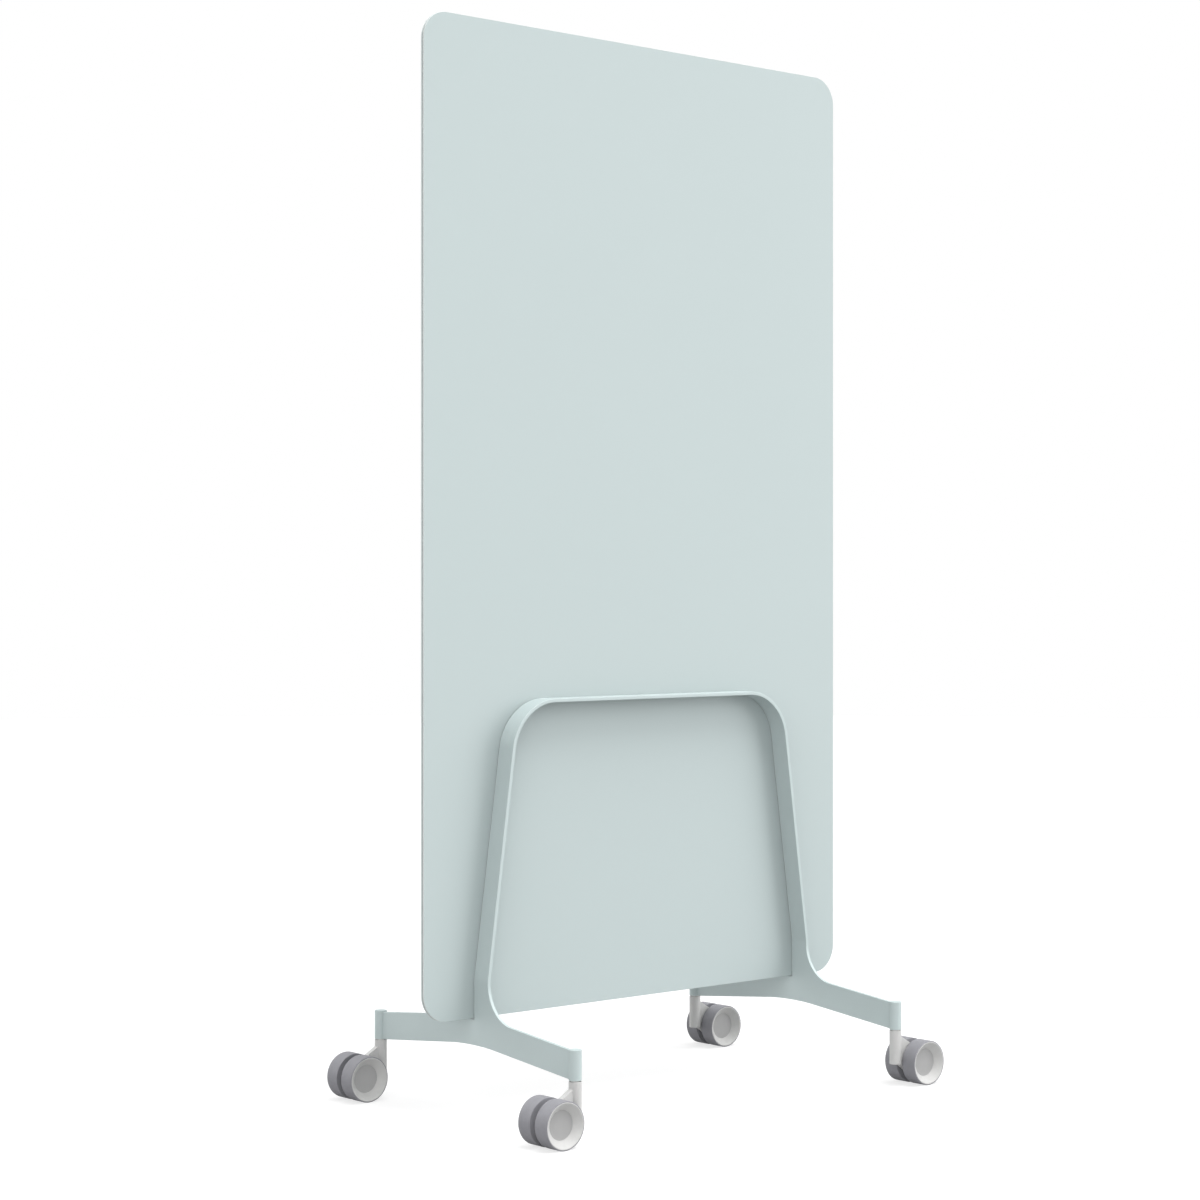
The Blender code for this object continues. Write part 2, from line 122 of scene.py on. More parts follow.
def pick(kind, wanted):
    """Selects the wanted faces ("FACE") or edges ("EDGE") of the open mesh, and no others."""
    bpy.ops.mesh.select_mode(type=kind)
    bpy.ops.mesh.select_all(action="DESELECT")
    mesh = bpy.context.edit_object.data
    shape = bmesh.from_edit_mesh(mesh)
    shape.normal_update()
    found = [part for part in (shape.faces if kind == "FACE" else shape.edges) if wanted(part)]
    for part in found:
        part.select_set(True)
    bmesh.update_edit_mesh(mesh)
    return len(found)


def runs_along(edge, axis):
    """True for an edge that is parallel to one axis."""
    step = edge.verts[1].co - edge.verts[0].co
    return step.length - abs(step[axis]) < hair


def is_sharp(edge, degrees=fold):
    """True for an edge where two faces meet at more than an angle."""
    return edge.calc_face_angle(0) > radians(degrees)


def extrude(x=0, y=0, z=0):
    """Extrudes the selection and moves the new part."""
    bpy.ops.mesh.extrude_region_move(TRANSFORM_OT_translate={"value": (x, y, z)})


def soften(width, wanted=is_sharp, segments=3):
    """Rounds the wanted edges of the open mesh, and says how many there were."""
    count = pick("EDGE", wanted)
    bpy.ops.mesh.bevel(offset=width, segments=segments, profile=arc)
    return count


def close_up():
    """Merges the doubled points of the open mesh and turns its faces outward."""
    bpy.ops.mesh.select_all(action="SELECT")
    bpy.ops.mesh.remove_doubles(threshold=same_place)
    bpy.ops.mesh.normals_make_consistent(inside=False)


def smooth(piece):
    """Shades the rounded edges smooth and keeps the flat faces flat."""
    begin(piece)
    bpy.ops.object.shade_smooth_by_angle(angle=radians(fold))
    weights = piece.modifiers.new("flat faces lead", "WEIGHTED_NORMAL")
    weights.keep_sharp = True
    bpy.ops.object.modifier_apply(modifier=weights.name)
    print(piece.name, "has", len(piece.data.polygons), "faces")
    return piece


def stands_for(piece, node, slot):
    """The piece takes the place of a node of the model: it moves and is painted like it."""
    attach(piece, frame["nodes"][node]["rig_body"])
    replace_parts(piece, node)
    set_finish(piece, slot)


# %% [markdown]
# ## The glass sheets
#
# The writing surface is a sheet of painted glass on each side of a thin steel sheet. Glass is cut
# with round corners, and its edges are ground off a little so that they don't cut the hand. A
# block of the sheet's size is all it takes: its four short edges are bevelled to the corner
# radius, and then the rim gets a narrow bevel. A bevel is better than a drawn outline here,
# because the radius and the ground edge stay two numbers that are easy to change.

# %% Front glass sheet
corner_radius, corner_steps = 0.050, 24
ground_edge = 0.0005


def block(name, low, high):
    """A block between two corners, with its place in its mesh."""
    begin()
    bpy.ops.mesh.primitive_cube_add(size=1, location=(low + high) / 2, scale=high - low)
    piece = bpy.context.object
    piece.name = name
    bpy.ops.object.transform_apply()
    return piece


front_sheet = block("front_glass_sheet", *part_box("front_glass"))
edit(front_sheet)
print("Corners:", soften(corner_radius, lambda edge: runs_along(edge, deep), corner_steps))
print("Rim edges:", soften(ground_edge))
smooth(front_sheet)

# %% [markdown]
# The edge of a sheet is ground dull and isn't painted, and that calls for a second finish. A mesh
# keeps a number for each face that says which of its materials the face shows. Here the faces that
# don't look forward or back get number 1, and both materials are filled in later on.

# %% The ground edge of the sheet


def mark_edge_faces(piece):
    """Gives the faces round the rim of a sheet the second material of the piece."""
    begin(piece)
    for _ in range(2):
        bpy.ops.object.material_slot_add()
    edit(piece)
    count = pick("FACE", lambda face: abs(face.normal.y) < mostly)
    piece.active_material_index = 1
    bpy.ops.object.material_slot_assign()
    begin()
    return count


print("Edge faces:", mark_edge_faces(front_sheet))

# %% [markdown]
# The rear sheet is the same piece turned round. A copy gets its own mesh, and the turn goes into
# the mesh, so that the object itself stays at the origin. Painted patterns are laid out from
# there, and would slide on an object that had been moved.

# %% Rear glass sheet
half_turn = Matrix.Rotation(pi, 4, "Z")


def copy_of(piece, name, move):
    """A copy with its own mesh, moved by a matrix, that stands for no node of the model yet."""
    twin = piece.copy()
    twin.pop("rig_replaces", None)
    twin.data = piece.data.copy()
    twin.data.transform(move)
    twin.name = name
    bpy.context.collection.objects.link(twin)
    return twin


rear_sheet = copy_of(front_sheet, "rear_glass_sheet", half_turn)
stands_for(front_sheet, "front_glass", "coloured_glass")
stands_for(rear_sheet, "rear_glass", "coloured_glass")

# %% [markdown]
# ## The hoops
#
# On each side of the board a steel flat bar runs up one leg, over the top and down the other. A
# smith would bend one long bar, and the mesh is made in the same way: a small rectangle, the
# bar's section, is pulled along the leg with extrude and taken round each bend with spin. The
# legs lean together by eight degrees, with a small bend above the weld and a large one at the top.

# %% Measures of the bar
hoop_low, hoop_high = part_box("front_hoop")
foot_low, foot_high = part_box("left_foot")
bar_thickness = foot_high.x - foot_low.x
bar_edge = 0.0010
leg_x = -(foot_low.x + foot_high.x) / 2
lean = radians(8)
bend_radius, bend_steps = 0.060, 4
top_radius, top_steps = 0.095, 28
stub = 0.0020                           # the upright end of a leg, below its small bend

bend_centre = Vector((leg_x - bend_radius, 0, hoop_low.z + stub))
out_of_bend = Vector((cos(lean), 0, sin(lean)))
up_the_leg = Vector((-sin(lean), 0, cos(lean)))
bend_end = bend_centre + bend_radius * out_of_bend
corner_height = hoop_high.z - bar_thickness / 2
leg_line = (corner_height - bend_end.z) / cos(lean)
straight_leg = leg_line - top_radius * tan((pi / 2 - lean) / 2)
top_centre = bend_end + up_the_leg * straight_leg - top_radius * out_of_bend
print("Straight leg:", round(straight_leg * 1000, 1), "mm, straight top:",
      round(top_centre.x * 2000, 1), "mm")

# %% [markdown]
# The bar's section starts as a plane at the foot of the right leg. Each spin takes the end of the
# bar round the centre of a bend and leaves it selected, so the next straight length or bend goes on
# from there. At the end, doubles are merged and the faces are all turned outward.

# %% Front hoop
begin()
bpy.ops.mesh.primitive_plane_add(size=1, location=(leg_x, (hoop_low.y + hoop_high.y) / 2,
                                                   hoop_low.z))
front_bar = bpy.context.object
front_bar.name = "front_hoop_bar"
front_bar.scale = (bar_thickness, hoop_high.y - hoop_low.y, 1)
bpy.ops.object.transform_apply()


def bend(centre, angle, steps):
    """Takes the end of the bar round a centre, in the plane of the board."""
    bpy.ops.mesh.spin(steps=steps, angle=angle, center=centre, axis=(0, 1, 0))


mirrored = Vector((-1, 0, 1))
edit(front_bar)
extrude(z=stub)
bend(bend_centre, lean, bend_steps)
extrude(*(up_the_leg * straight_leg))
bend(top_centre, pi / 2 - lean, top_steps)
extrude(x=-2 * top_centre.x)
bend(top_centre * mirrored, pi / 2 - lean, top_steps)
extrude(*(up_the_leg * mirrored * -straight_leg))
bend(bend_centre * mirrored, lean, bend_steps)
extrude(z=-stub)
close_up()

# %% [markdown]
# The bar is rolled steel, so its four long edges are slightly round. The edges of its two ends
# are left square, because there the bar is welded to the foot plate and ground flush, and the
# two pieces have to run into each other without a groove.

# %% Rounded edges of the hoop


def at_weld(edge):
    """True for an edge in the plane where hoop and foot are welded together."""
    return all(abs(point.co.z - hoop_low.z) < same_place for point in edge.verts)


print("Long edges:", soften(bar_edge, lambda edge: is_sharp(edge) and not at_weld(edge)))
smooth(front_bar)
rear_bar = copy_of(front_bar, "rear_hoop_bar", half_turn)
stands_for(front_bar, "front_hoop", "powder_coat")
stands_for(rear_bar, "rear_hoop", "powder_coat")

# %% [markdown]
# ## The foot plates
#
# Each foot is cut from steel plate: two arms that slope down to the castors, and two tines that
# stand up on each side of the glass and carry the hoop legs. The large fillet where a tine turns
# into an arm is the line that one notices most. The plate starts as one long block. Its middle is
# lifted into a low ridge, the tines are pulled up out of the ridge, and bevels with the true
# radii turn the hard corners into the fillets and into the arch of the underside.

# %% Left foot plate: ridge and tines
gap = 0.0003                            # between pieces that touch
overrun = 0.010                         # how far a cutter reaches past what it cuts
socket_radius, socket_weld = 0.0110, 0.0007     # an arm runs into its socket by the weld
slope = radians(6)
fillet_radius, fillet_steps = 0.067, 24
arch_radius, arch_steps = 0.545, 16
arm_height = 0.0494
tine_stock = 0.1                        # more than a tine needs, to be cut off level
hoop_reach = -hoop_low.y
slot_half = -hoop_high.y
socket_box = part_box("front_left_socket")
swivel_y = -(socket_box[0].y + socket_box[1].y) / 2
arm_end = swivel_y - socket_radius + socket_weld
socket_foot, socket_top = socket_box[0].z, socket_box[1].z
slot_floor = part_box("left_glass_seat")[0].z - gap


def on_ridge(edge):
    """True for an edge that crosses the plate in the middle of the board."""
    return runs_along(edge, across) and abs(edge.verts[0].co.y) < hair


foot = block("left_foot_plate",
             Vector((foot_low.x, -arm_end, socket_foot)),
             Vector((foot_high.x, arm_end, socket_foot + arm_height)))
edit(foot)
bpy.ops.mesh.bisect(plane_co=(0, 0, 0), plane_no=(0, 1, 0))
pick("EDGE", on_ridge)
bpy.ops.transform.translate(value=(0, 0, arm_end * tan(slope)))
soften(arch_radius * tan(slope), lambda edge: on_ridge(edge)
       and edge.verts[0].co.z < socket_foot + arm_height, arch_steps)
for side in (-1, 1):
    bpy.ops.mesh.select_all(action="SELECT")
    bpy.ops.mesh.bisect(plane_co=(0, side * hoop_reach, 0), plane_no=(0, 1, 0))
print("Ridge faces:", pick("FACE", lambda face: face.normal.z > mostly
                           and abs(face.calc_center_median().y) < hoop_reach))
extrude(z=tine_stock)
bpy.ops.mesh.select_all(action="SELECT")
bpy.ops.mesh.bisect(plane_co=(0, 0, hoop_low.z), plane_no=(0, 0, 1), clear_outer=True,
                    use_fill=True)

# %% [markdown]
# The inner corner between a tine and an arm is still a hard fold. A bevel whose width is the length
# of the tangent turns it into an arc of the true radius. Then a Boolean cuts the slot for the
# glass, and a small bevel eases the outline, but not where the plate is welded.

# %% Left foot plate: fillets, slot and rounded edges
shoulder = socket_foot + arm_height + (arm_end - hoop_reach) * tan(slope)
fillet_offset = fillet_radius * tan((pi / 2 - slope) / 2)
print("Shoulders:", soften(fillet_offset, lambda edge: runs_along(edge, across)
                           and abs(edge.verts[0].co.z - shoulder) < same_place, fillet_steps))


def boolean(piece, tool, operation):
    """Joins or cuts a piece with a tool, and throws the tool away."""
    begin(piece)
    step = piece.modifiers.new("boolean", "BOOLEAN")
    step.operation, step.solver, step.object = operation, "EXACT", tool
    bpy.ops.object.modifier_apply(modifier=step.name)
    bpy.data.objects.remove(tool, do_unlink=True)


slot_block = block("slot", Vector((foot_low.x - overrun, -slot_half, slot_floor)),
                   Vector((foot_high.x + overrun, slot_half, hoop_low.z + overrun)))
boolean(foot, slot_block, "DIFFERENCE")


def on_outline(edge):
    """True for an edge of the plate's outline, apart from its welds to hoop and sockets."""
    one, other = (corner.co for corner in edge.verts)
    flat = abs(one.x - other.x) < hair
    at_socket = all(abs(abs(point.y) - arm_end) < same_place for point in (one, other))
    return flat and is_sharp(edge, degrees=60) and not at_weld(edge) and not at_socket


edit(foot)
print("Outline edges:", soften(bar_edge, on_outline))
smooth(foot)
right_foot = copy_of(foot, "right_foot_plate", Matrix.Translation((2 * leg_x, 0, 0)))
stands_for(foot, "left_foot", "powder_coat")
stands_for(right_foot, "right_foot", "powder_coat")

# %% [markdown]
# ## Turned pieces
#
# Sockets, stems and wheels are round. A lathe hand thinks of such a piece as a row of diameters
# along an axis, and so does this helper: a circle is drawn at the first diameter, and each next
# one is an extrusion that is moved along the axis and scaled. A solid piece starts from a filled
# circle. A hollow one starts from an open ring and comes back to it, and there it is merged.

# %% A helper for turned pieces
pin_sides, round_sides, wheel_sides = 48, 64, 96


def turned(name, centre, axis, rings, sides=round_sides, solid=True):
    """A turned piece from rings of (radius, distance from the centre along the axis)."""
    radius, reach = rings[0]
    begin()
    bpy.ops.mesh.primitive_circle_add(
        vertices=sides, radius=radius, fill_type="NGON" if solid else "NOTHING",
        location=centre + reach * axis, rotation=axis.to_track_quat("Z", "Y").to_euler())
    piece = bpy.context.object
    piece.name = name
    bpy.ops.object.transform_apply()
    edit(piece)
    for next_radius, next_reach in rings[1:]:
        extrude(*(axis * (next_reach - reach)))
        growth = next_radius / radius
        bpy.ops.transform.resize(value=[1 if abs(part) > mostly else growth for part in axis],
                                 center_override=centre + next_reach * axis)
        radius, reach = next_radius, next_reach
    close_up()
    return piece


up = Vector((0, 0, 1))

# %% [markdown]
# ## Sockets and stems
#
# A short round bar is welded to the end of each foot, bored from below for the castor's stem. The
# stem is a steel pin with a collar, and its collar shows in the narrow gap between the socket and
# the castor. Both are modelled once, on the front left corner, and copied to the other three.

# %% Socket
swivel_x = -leg_x
swivel = Vector((swivel_x, -swivel_y, 0))
stem_low, stem_high = (corner.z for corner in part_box("front_left_stem"))
bore_radius, bore_headroom, socket_edge = 0.0053, 0.0010, 0.0007
socket = turned("front_left_castor_socket", swivel, up, [
    (socket_radius, socket_top),
    (socket_radius, socket_foot),
    (bore_radius, socket_foot),
    (bore_radius, stem_high + bore_headroom),
])
soften(socket_edge)
smooth(socket)

# %% [markdown]
# The stem is turned from bright steel. Its collar bears on the castor's barrel, and a groove near
# its lower end holds the ring that keeps the castor on when the whole board is lifted.

# %% Stem with its collar
castor_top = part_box("front_left_housing")[1].z
stem_radius, collar_radius, stem_edge = 0.0050, 0.0078, 0.0003
counterbore_depth = 0.0030
counterbore_floor = castor_top - counterbore_depth
groove_radius, ring_height, groove_half = 0.0042, 0.0060, 0.0008
groove_top = stem_low + ring_height + groove_half
groove_foot = stem_low + ring_height - groove_half
stem = turned("front_left_castor_stem", swivel, up, [
    (stem_radius, stem_high),
    (stem_radius, socket_foot - gap),
    (collar_radius, socket_foot - gap),
    (collar_radius, counterbore_floor + gap),
    (stem_radius, counterbore_floor + gap),
    (stem_radius, groove_top),
    (groove_radius, groove_top),
    (groove_radius, groove_foot),
    (stem_radius, groove_foot),
    (stem_radius, stem_low),
], sides=pin_sides)
soften(stem_edge, segments=2)
smooth(stem)

# %% [markdown]
# The two pieces are the same on every corner and turn with nothing, so that a plain move is enough.
# A small table gives each corner its side and end, and the castors and wheels will use it too.

# %% Copies on the other corners
corners = {"front_left": (-1, -1), "rear_left": (-1, 1), "front_right": (1, -1),
           "rear_right": (1, 1)}


def on_each_corner(piece, ending, node_ending, slot):
    """Copies a piece of the front left corner to the other three, on the board's own body."""
    for corner, (side, end) in corners.items():
        twin = piece
        if corner != "front_left":
            place = Vector((side * leg_x, end * swivel_y, 0))
            twin = copy_of(piece, corner + ending, Matrix.Translation(place - swivel))
        stands_for(twin, corner + node_ending, slot)


on_each_corner(stem, "_castor_stem", "_stem", "bright_steel")
on_each_corner(socket, "_castor_socket", "_socket", "powder_coat")

# %% [markdown]
# ## The castor housing
#
# The housing is one white moulding: an upright barrel that swivels on the stem, a web that runs
# down from it between the wheels, and a hub on the axle. The web's outline is tangent to a round
# end. Wrapping a disc and a small block in a convex hull draws both tangents at once, and no
# angle has to be worked out. Barrel, web and hub are then joined with Booleans and bored.

# %% Barrel, web and hub
wheel_radius = 0.0409
cap_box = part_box("front_left_outer_cap")
trail = swivel_x - (cap_box[0].x + cap_box[1].x) / 2
axle = swivel + Vector((-trail, 0, wheel_radius))
barrel_radius, barrel_length, barrel_edge = 0.0110, 0.0625, 0.0010
barrel_foot = castor_top - barrel_length
web_half, web_edge = 0.0053, 0.0012
web_end_radius, web_end_drop, web_end_sides = 0.0250, 0.0030, 72
web_rise, web_drop = 0.0030, 0.0061     # from the barrel's foot and top to the web
web_start = 0.0020                      # how far from the swivel the web's rim gets round
sliver = 0.0004
print("The wheels trail the swivel by", round(trail * 1000, 1), "mm")

housing = turned("front_left_castor_housing", swivel, up, [
    (barrel_radius, castor_top),
    (barrel_radius, barrel_foot),
])
soften(barrel_edge)

begin()
bpy.ops.mesh.primitive_cylinder_add(
    vertices=web_end_sides, radius=web_end_radius, depth=2 * web_half,
    location=axle - web_end_drop * up, rotation=(pi / 2, 0, 0))
web = bpy.context.object
bpy.ops.object.transform_apply()
edit(web)
root_foot, root_top = barrel_foot + web_rise, castor_top - web_drop
bpy.ops.mesh.primitive_cube_add(size=1, location=swivel + up * (root_foot + root_top) / 2,
                                scale=(sliver, 2 * web_half, root_top - root_foot))
bpy.ops.mesh.select_all(action="SELECT")
bpy.ops.mesh.convex_hull()
bpy.ops.mesh.dissolve_limited(angle_limit=radians(1))


def on_web_rim(edge):
    """True for a sharp edge of the web that lies outside its root."""
    middle = (edge.verts[0].co + edge.verts[1].co) / 2
    return is_sharp(edge, degrees=60) and middle.x < swivel_x - web_start


print("Web rim edges:", soften(web_edge, on_web_rim))
boolean(housing, web, "UNION")

# %% [markdown]
# The hub is a short round boss on the axle that keeps the wheels off the web. The barrel is bored
# like the real moulding: a shallow counterbore for the collar, a bore for the stem, and a wider
# chamber where the retaining ring has room to turn. Booleans with turned cutters do all of it.

# %% Hub and bores
facing = Vector((0, -1, 0))
hub_radius, hub_half, hub_edge = 0.0110, 0.0063, 0.0004
counterbore_radius, counterbore_lead = 0.0082, 0.0020      # the lead is above the barrel
chamber_radius = 0.0069
axle_bore_radius, axle_bore_sides = 0.0043, 32
hub = turned("hub", axle, facing, [
    (hub_radius, hub_half),
    (hub_radius, -hub_half),
], sides=pin_sides)
soften(hub_edge)
boolean(housing, hub, "UNION")
boolean(housing, turned("stem_bore", swivel, up, [
    (counterbore_radius, castor_top + counterbore_lead),
    (counterbore_radius, counterbore_floor),
    (bore_radius, counterbore_floor),
    (bore_radius, groove_top),
    (chamber_radius, groove_top),
    (chamber_radius, groove_foot),
    (bore_radius, groove_foot),
    (bore_radius, stem_low - gap),
], sides=pin_sides), "DIFFERENCE")
boolean(housing, turned("axle_bore", axle, facing, [
    (axle_bore_radius, overrun),
    (axle_bore_radius, -overrun),
], sides=axle_bore_sides), "DIFFERENCE")

# %% [markdown]
# A moulding has no sharp inner corners, since the melt has to flow round them. The edges where
# the web's sides leave the barrel are picked by their distance from the swivel axis and get a
# small bevel, which reads as the fillet of the mould.

# %% Fillets beside the barrel
mould_fillet = 0.0008


def beside_barrel(edge):
    """True for the upright inner edges where the web leaves the barrel."""
    middle = (edge.verts[0].co + edge.verts[1].co) / 2 - swivel
    on_wall = abs(middle.xy.length - barrel_radius) < sliver
    wheel_side = middle.x < -barrel_radius / 2
    upright = runs_along(edge, upward)
    return on_wall and wheel_side and upright and is_sharp(edge, degrees=20)


edit(housing)
print("Inner edges:", soften(mould_fillet, beside_barrel))
smooth(housing)
for corner, (side, end) in corners.items():
    place = Matrix.Translation((side * leg_x, end * swivel_y, 0))
    turn = Matrix.Rotation(0 if side < 0 else pi, 4, "Z")
    twin = housing
    if corner != "front_left":
        twin = copy_of(housing, corner + "_castor_housing",
                       place @ turn @ Matrix.Translation(-swivel))
    stands_for(twin, corner + "_housing", "white_nylon")

# %% [markdown]
# ## The wheels
#
# Each castor has two wheels. A grey tread of soft rubber sits on a white moulded rim, whose face
# is dished down to a flat grey cap over the axle. The rings below follow a section through the
# wheel. Distances are measured along the axle from the middle of the castor. The back of the rim
# is open, as it is on such wheels, with a boss that runs on the axle.

# %% Rim
inner_face, outer_face = 0.0066, 0.0367         # the two sides of the wheel
tyre_inside = 0.0389
flange_width = 0.0012
flange_face = inner_face + flange_width
band_inside, band_back = 0.0360, 0.0310         # the band that carries the tyre
bowl_radius, bowl_back, bowl_floor = 0.0275, 0.0228, 0.0165
boss_radius = 0.0090
recess_radius, recess_floor = 0.0249, 0.0191    # the place of the cap
cap_radius, cap_face, cap_floor = 0.0248, 0.0252, 0.0194
dish_radius, dish_edge, mouth_radius = 0.0366, 0.0357, 0.0373
rim_edge = 0.0003

rim = turned("front_left_outer_wheel_rim", axle, facing, [
    (tyre_inside, outer_face),
    (tyre_inside, flange_face + gap),
    (band_inside, flange_face + gap),
    (band_inside, band_back),
    (bowl_radius, bowl_back),
    (bowl_radius, bowl_floor),
    (boss_radius, bowl_floor),
    (boss_radius, inner_face),
    (axle_bore_radius, inner_face),
    (axle_bore_radius, recess_floor),
    (recess_radius, recess_floor),
    (recess_radius, cap_face),
    (dish_radius, dish_edge),
    (mouth_radius, outer_face),
    (tyre_inside, outer_face),
], sides=wheel_sides, solid=False)
soften(rim_edge, lambda edge: is_sharp(edge, degrees=50), segments=2)
smooth(rim)

# %% [markdown]
# The tread is rubber moulded round the rim. It ends flush with the rim's face, and at the groove
# between the wheels it folds over the rim's edge and closes most of the open back, so that looking
# into the groove one sees grey rubber only. A line left by the mould runs round its middle.

# %% Tyre
mould_line = (inner_face + outer_face) / 2
mould_line_half, mould_line_depth = 0.0005, 0.0002
outer_round, outer_depth = 0.0010, 0.0012       # the tread's shoulder, in and along the axle
round_in, round_along = 0.0003, 0.0004          # the bend in the middle of that shoulder
inner_round, inner_bend = 0.0006, 0.0002
flange_radius = 0.0285
tyre = turned("front_left_outer_wheel_tyre", axle, facing, [
    (tyre_inside, outer_face),
    (wheel_radius - outer_round, outer_face),
    (wheel_radius - round_in, outer_face - round_along),
    (wheel_radius, outer_face - outer_depth),
    (wheel_radius, mould_line + mould_line_half),
    (wheel_radius - mould_line_depth, mould_line),
    (wheel_radius, mould_line - mould_line_half),
    (wheel_radius, inner_face + inner_round),
    (wheel_radius - inner_bend, inner_face + inner_bend),
    (wheel_radius - inner_round, inner_face),
    (flange_radius, inner_face),
    (flange_radius, flange_face),
    (tyre_inside, flange_face),
    (tyre_inside, outer_face),
], sides=wheel_sides, solid=False)
smooth(tyre)

# %% [markdown]
# The cap is a shallow cup, pressed into the recess of the rim over the end of the axle. Its flat
# face sits at the bottom of the dish, with a hair's breadth of a step near its edge.

# %% Cap
cap_wall, cap_step, middle_step = 0.0016, 0.0003, 0.0002
cap_middle, cap_bend, step_foot, step_head = 0.0030, 0.0200, 0.0226, 0.0232
cap_back = cap_face - cap_step - cap_wall
cap_edge = 0.00015
cap = turned("front_left_outer_wheel_cap", axle, facing, [
    (cap_middle, cap_face - middle_step),
    (cap_bend, cap_face - cap_step),
    (step_foot, cap_face - cap_step),
    (step_head, cap_face),
    (cap_radius, cap_face),
    (cap_radius, cap_floor),
    (cap_radius - cap_wall, cap_floor),
    (cap_radius - cap_wall, cap_back),
    (cap_middle, cap_back),
], sides=wheel_sides)
soften(cap_edge, segments=2)
smooth(cap)

# %% [markdown]
# The other seven wheels are copies. The wheel on the far side of a castor is turned round so that
# its dished face looks outward, and each one is also rolled by its own angle about its axle, so
# that no two treads show the same scuffs.

# %% Copies of the wheel
roll_step = radians(47)
wheel_count = 0
for corner, (side, end) in corners.items():
    for wheel, look in (("outer", end), ("inner", -end)):
        centre = Vector((side * (leg_x + trail), end * swivel_y, wheel_radius))
        move = (Matrix.Translation(centre) @ Matrix.Rotation(0 if look < 0 else pi, 4, "Z")
                @ Matrix.Rotation(wheel_count * roll_step, 4, "Y") @ Matrix.Translation(-axle))
        for source, part, slot in ((rim, "rim", "white_nylon"), (tyre, "tyre", "tread_rubber"),
                                   (cap, "cap", "cap_plastic")):
            twin = source
            if wheel_count:
                twin = copy_of(source, f"{corner}_{wheel}_wheel_{part}", move)
            stands_for(twin, f"{corner}_{wheel}_{part}", slot)
        wheel_count += 1
print("Wheels:", wheel_count)

# %% [markdown]
# ## Effects that the finishes share
#
# Real surfaces are never one even colour. Three small node groups make the unevenness: clouds of
# any size for mottling and grain, streaks for wiped glass, and dust that settles on what faces
# up and gathers near the floor. They read object coordinates, so the patterns stay on the piece
# when it moves, and they only put out masks. What a mask does is decided in each material.

# %% Node groups
middle_grey = 0.5
cloud_detail = 4


def add_node(tree, kind, **values):
    """Adds a node to a tree and sets its inputs that are named."""
    node = tree.nodes.new("ShaderNode" + kind)
    for label, value in values.items():
        node.inputs[label].default_value = value
    return node


def effect(name, inputs, outputs):
    """An empty node group with named numbers in and masks out."""
    group = bpy.data.node_groups.new(name, "ShaderNodeTree")
    for label, value in inputs.items():
        socket_in = group.interface.new_socket(label, in_out="INPUT",
                                               socket_type="NodeSocketFloat")
        socket_in.default_value = value
    for label in outputs:
        group.interface.new_socket(label, in_out="OUTPUT", socket_type="NodeSocketFloat")
    return group, group.nodes.new("NodeGroupInput"), group.nodes.new("NodeGroupOutput")


def calculate(tree, operation, *values):
    """A math node fed with numbers or other nodes' outputs."""
    node = add_node(tree, "Math")
    node.operation = operation
    for slot_in, value in zip(node.inputs, values):
        if isinstance(value, (int, float)):
            slot_in.default_value = value
        else:
            tree.links.new(value, slot_in)
    return node.outputs[0]


clouds, clouds_in, clouds_out = effect("clouds", {"Size": 0.1, "Contrast": 1.0}, ["Mask"])
spot = add_node(clouds, "TexCoord")
noise = add_node(clouds, "TexNoise", Detail=cloud_detail)
clouds.links.new(spot.outputs["Object"], noise.inputs["Vector"])
clouds.links.new(calculate(clouds, "DIVIDE", 1.0, clouds_in.outputs["Size"]),
                 noise.inputs["Scale"])
centred = calculate(clouds, "SUBTRACT", noise.outputs[0], middle_grey)
spread = calculate(clouds, "MULTIPLY", centred, clouds_in.outputs["Contrast"])
clouds.links.new(calculate(clouds, "ADD", spread, middle_grey), clouds_out.inputs["Mask"])

# %% [markdown]
# A whiteboard is wiped in long sideways strokes, so the noise for its streaks is stretched along
# the board and tilted a little. Dust needs two things: how near the floor a point is, and how
# much its face looks up. Both are multiplied with a fine noise, because dust lies in specks.

# %% Streaks and dust
streak_tilt = radians(12)
streak_squeeze = 0.12                   # under 1, so that the noise is drawn out along the board
streak_detail, streak_distortion = 5, 0.6
speck_scale, speck_detail = 160, 6
shelf_share = 0.6                       # dust on what faces up, beside that near the floor

streaks, streaks_in, streaks_out = effect("wiped_streaks", {"Width": 0.02}, ["Mask"])
spot = add_node(streaks, "TexCoord")
stretch = add_node(streaks, "Mapping", Rotation=(0, streak_tilt, 0), Scale=(streak_squeeze, 1, 1))
noise = add_node(streaks, "TexNoise", Detail=streak_detail, Distortion=streak_distortion)
streaks.links.new(spot.outputs["Object"], stretch.inputs["Vector"])
streaks.links.new(stretch.outputs["Vector"], noise.inputs["Vector"])
streaks.links.new(calculate(streaks, "DIVIDE", 1.0, streaks_in.outputs["Width"]),
                  noise.inputs["Scale"])
streaks.links.new(noise.outputs[0], streaks_out.inputs["Mask"])

